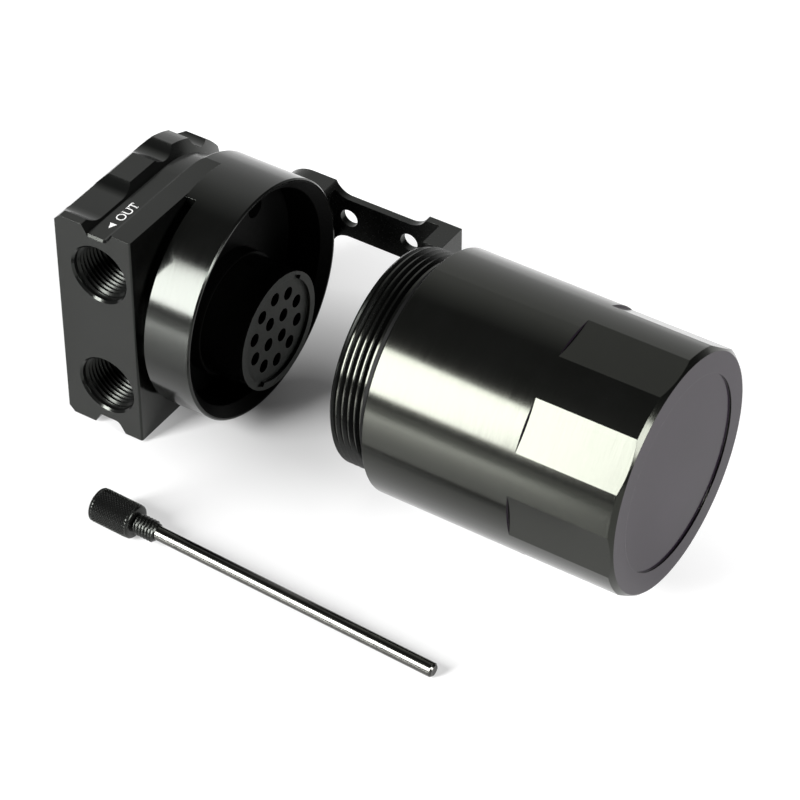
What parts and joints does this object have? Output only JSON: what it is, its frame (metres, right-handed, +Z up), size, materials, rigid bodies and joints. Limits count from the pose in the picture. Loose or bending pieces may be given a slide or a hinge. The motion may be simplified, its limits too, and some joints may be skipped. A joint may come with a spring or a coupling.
{
  "type": "oil catch can",
  "caption": "Round engine oil catch can laid open on its side: scalloped head with side ports, baffle and milled bracket, unscrewed cup with wrench flats, loose dipstick.",
  "frame": {"origin": "bottom centre of the laid-out set, on the surface it lies on", "axes": "+X from the lid to the cup's base along the can, +Y from the ports to the bracket, +Z up"},
  "size_m": [0.1726, 0.1148, 0.0705],
  "materials": {
    "head_metal": "black anodised, satin",
    "baffle_metal": "dark grey, matte",
    "bracket_metal": "black anodised, satin",
    "screw_steel": "black oxide",
    "knob_metal": "black, knurled",
    "rod_steel": "bright drawn",
    "cup_metal": "black anodised, glossy turned",
    "seal_rubber": "moulded"
  },
  "bodies": {
    "head_group": {"head": "head_metal", "baffle_canister": "baffle_metal", "bracket": "bracket_metal", "bracket_screws": "screw_steel", "dipstick_knob": "knob_metal", "dipstick_rod": "rod_steel"},
    "cup_group": {"cup": "cup_metal", "cup_seal": "seal_rubber"}
  },
  "joints": [
    {"name": "cup_slide", "type": "slide", "parent": "head_group", "child": "cup_group", "axis": [1, 0, 0], "range_m": [-0.0543, 0]}
  ]
}
